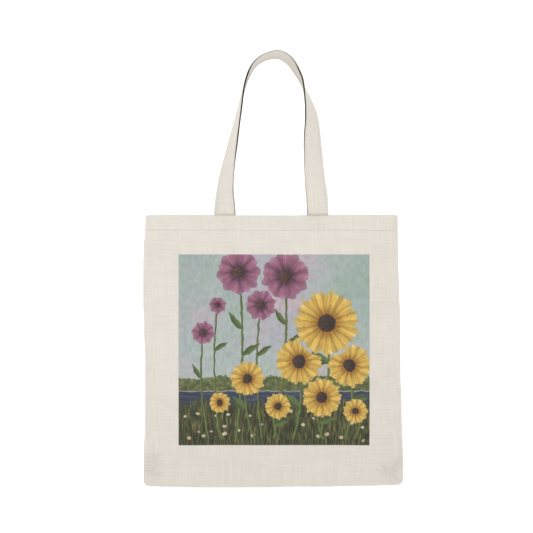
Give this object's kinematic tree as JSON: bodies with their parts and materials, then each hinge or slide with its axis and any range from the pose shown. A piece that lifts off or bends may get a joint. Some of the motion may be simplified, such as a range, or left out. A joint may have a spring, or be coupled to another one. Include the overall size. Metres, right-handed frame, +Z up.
{
  "type": "tote bag",
  "caption": "Flat open-topped cotton canvas tote bag with a turned hem and long self-fabric handles, hanging from a hook, with a printed picture on its front.",
  "frame": {"origin": "the point under the arch of both handles where a hook carries the bag, midway between the two handles", "axes": "+Z up, +Y from the printed front to the back, +X to the right as seen from the front"},
  "size_m": [0.3848, 0.0618, 0.649],
  "materials": {
    "printed_canvas": "undyed 12 oz cotton canvas with a matt ink print that covers its middle",
    "canvas": "undyed 12 oz cotton canvas, matt plain weave with slubs",
    "handle_canvas": "undyed cotton canvas folded to four plies, matt",
    "thread": "natural spun cotton-polyester sewing thread"
  },
  "bodies": {
    "bag_back": {"back_panel": "canvas", "left_side_seam": "canvas", "left_side_overlock": "thread", "right_side_seam": "canvas", "right_side_overlock": "thread", "bottom_seam": "canvas", "bottom_overlock": "thread", "back_hem_stitching": "thread", "back_left_handle_end": "handle_canvas", "back_right_handle_end": "handle_canvas", "back_left_box_stitching": "thread", "back_right_box_stitching": "thread"},
    "bag_front": {"front_panel": "printed_canvas", "front_hem_stitching": "thread", "front_left_handle_end": "handle_canvas", "front_right_handle_end": "handle_canvas", "front_left_box_stitching": "thread", "front_right_box_stitching": "thread"},
    "front_handle": {"front_handle_strap": "handle_canvas", "front_handle_outer_edge_stitching": "thread", "front_handle_inner_edge_stitching": "thread"},
    "back_handle": {"back_handle_strap": "handle_canvas", "back_handle_outer_edge_stitching": "thread", "back_handle_inner_edge_stitching": "thread"}
  },
  "joints": [
    {"name": "mouth_opening", "type": "hinge", "parent": "bag_back", "child": "bag_front", "pos_m": [-0.004, 0, -0.6326], "axis": [1, 0, 0], "range_deg": [0, 6.5]},
    {"name": "front_handle_swing", "type": "hinge", "parent": "bag_front", "child": "front_handle", "pos_m": [-0.004, -0.0192, -0.2316], "axis": [1, 0, 0], "range_deg": [0, 160]},
    {"name": "back_handle_swing", "type": "hinge", "parent": "bag_back", "child": "back_handle", "pos_m": [-0.004, 0.0192, -0.2316], "axis": [-1, 0, 0], "range_deg": [0, 160]}
  ]
}
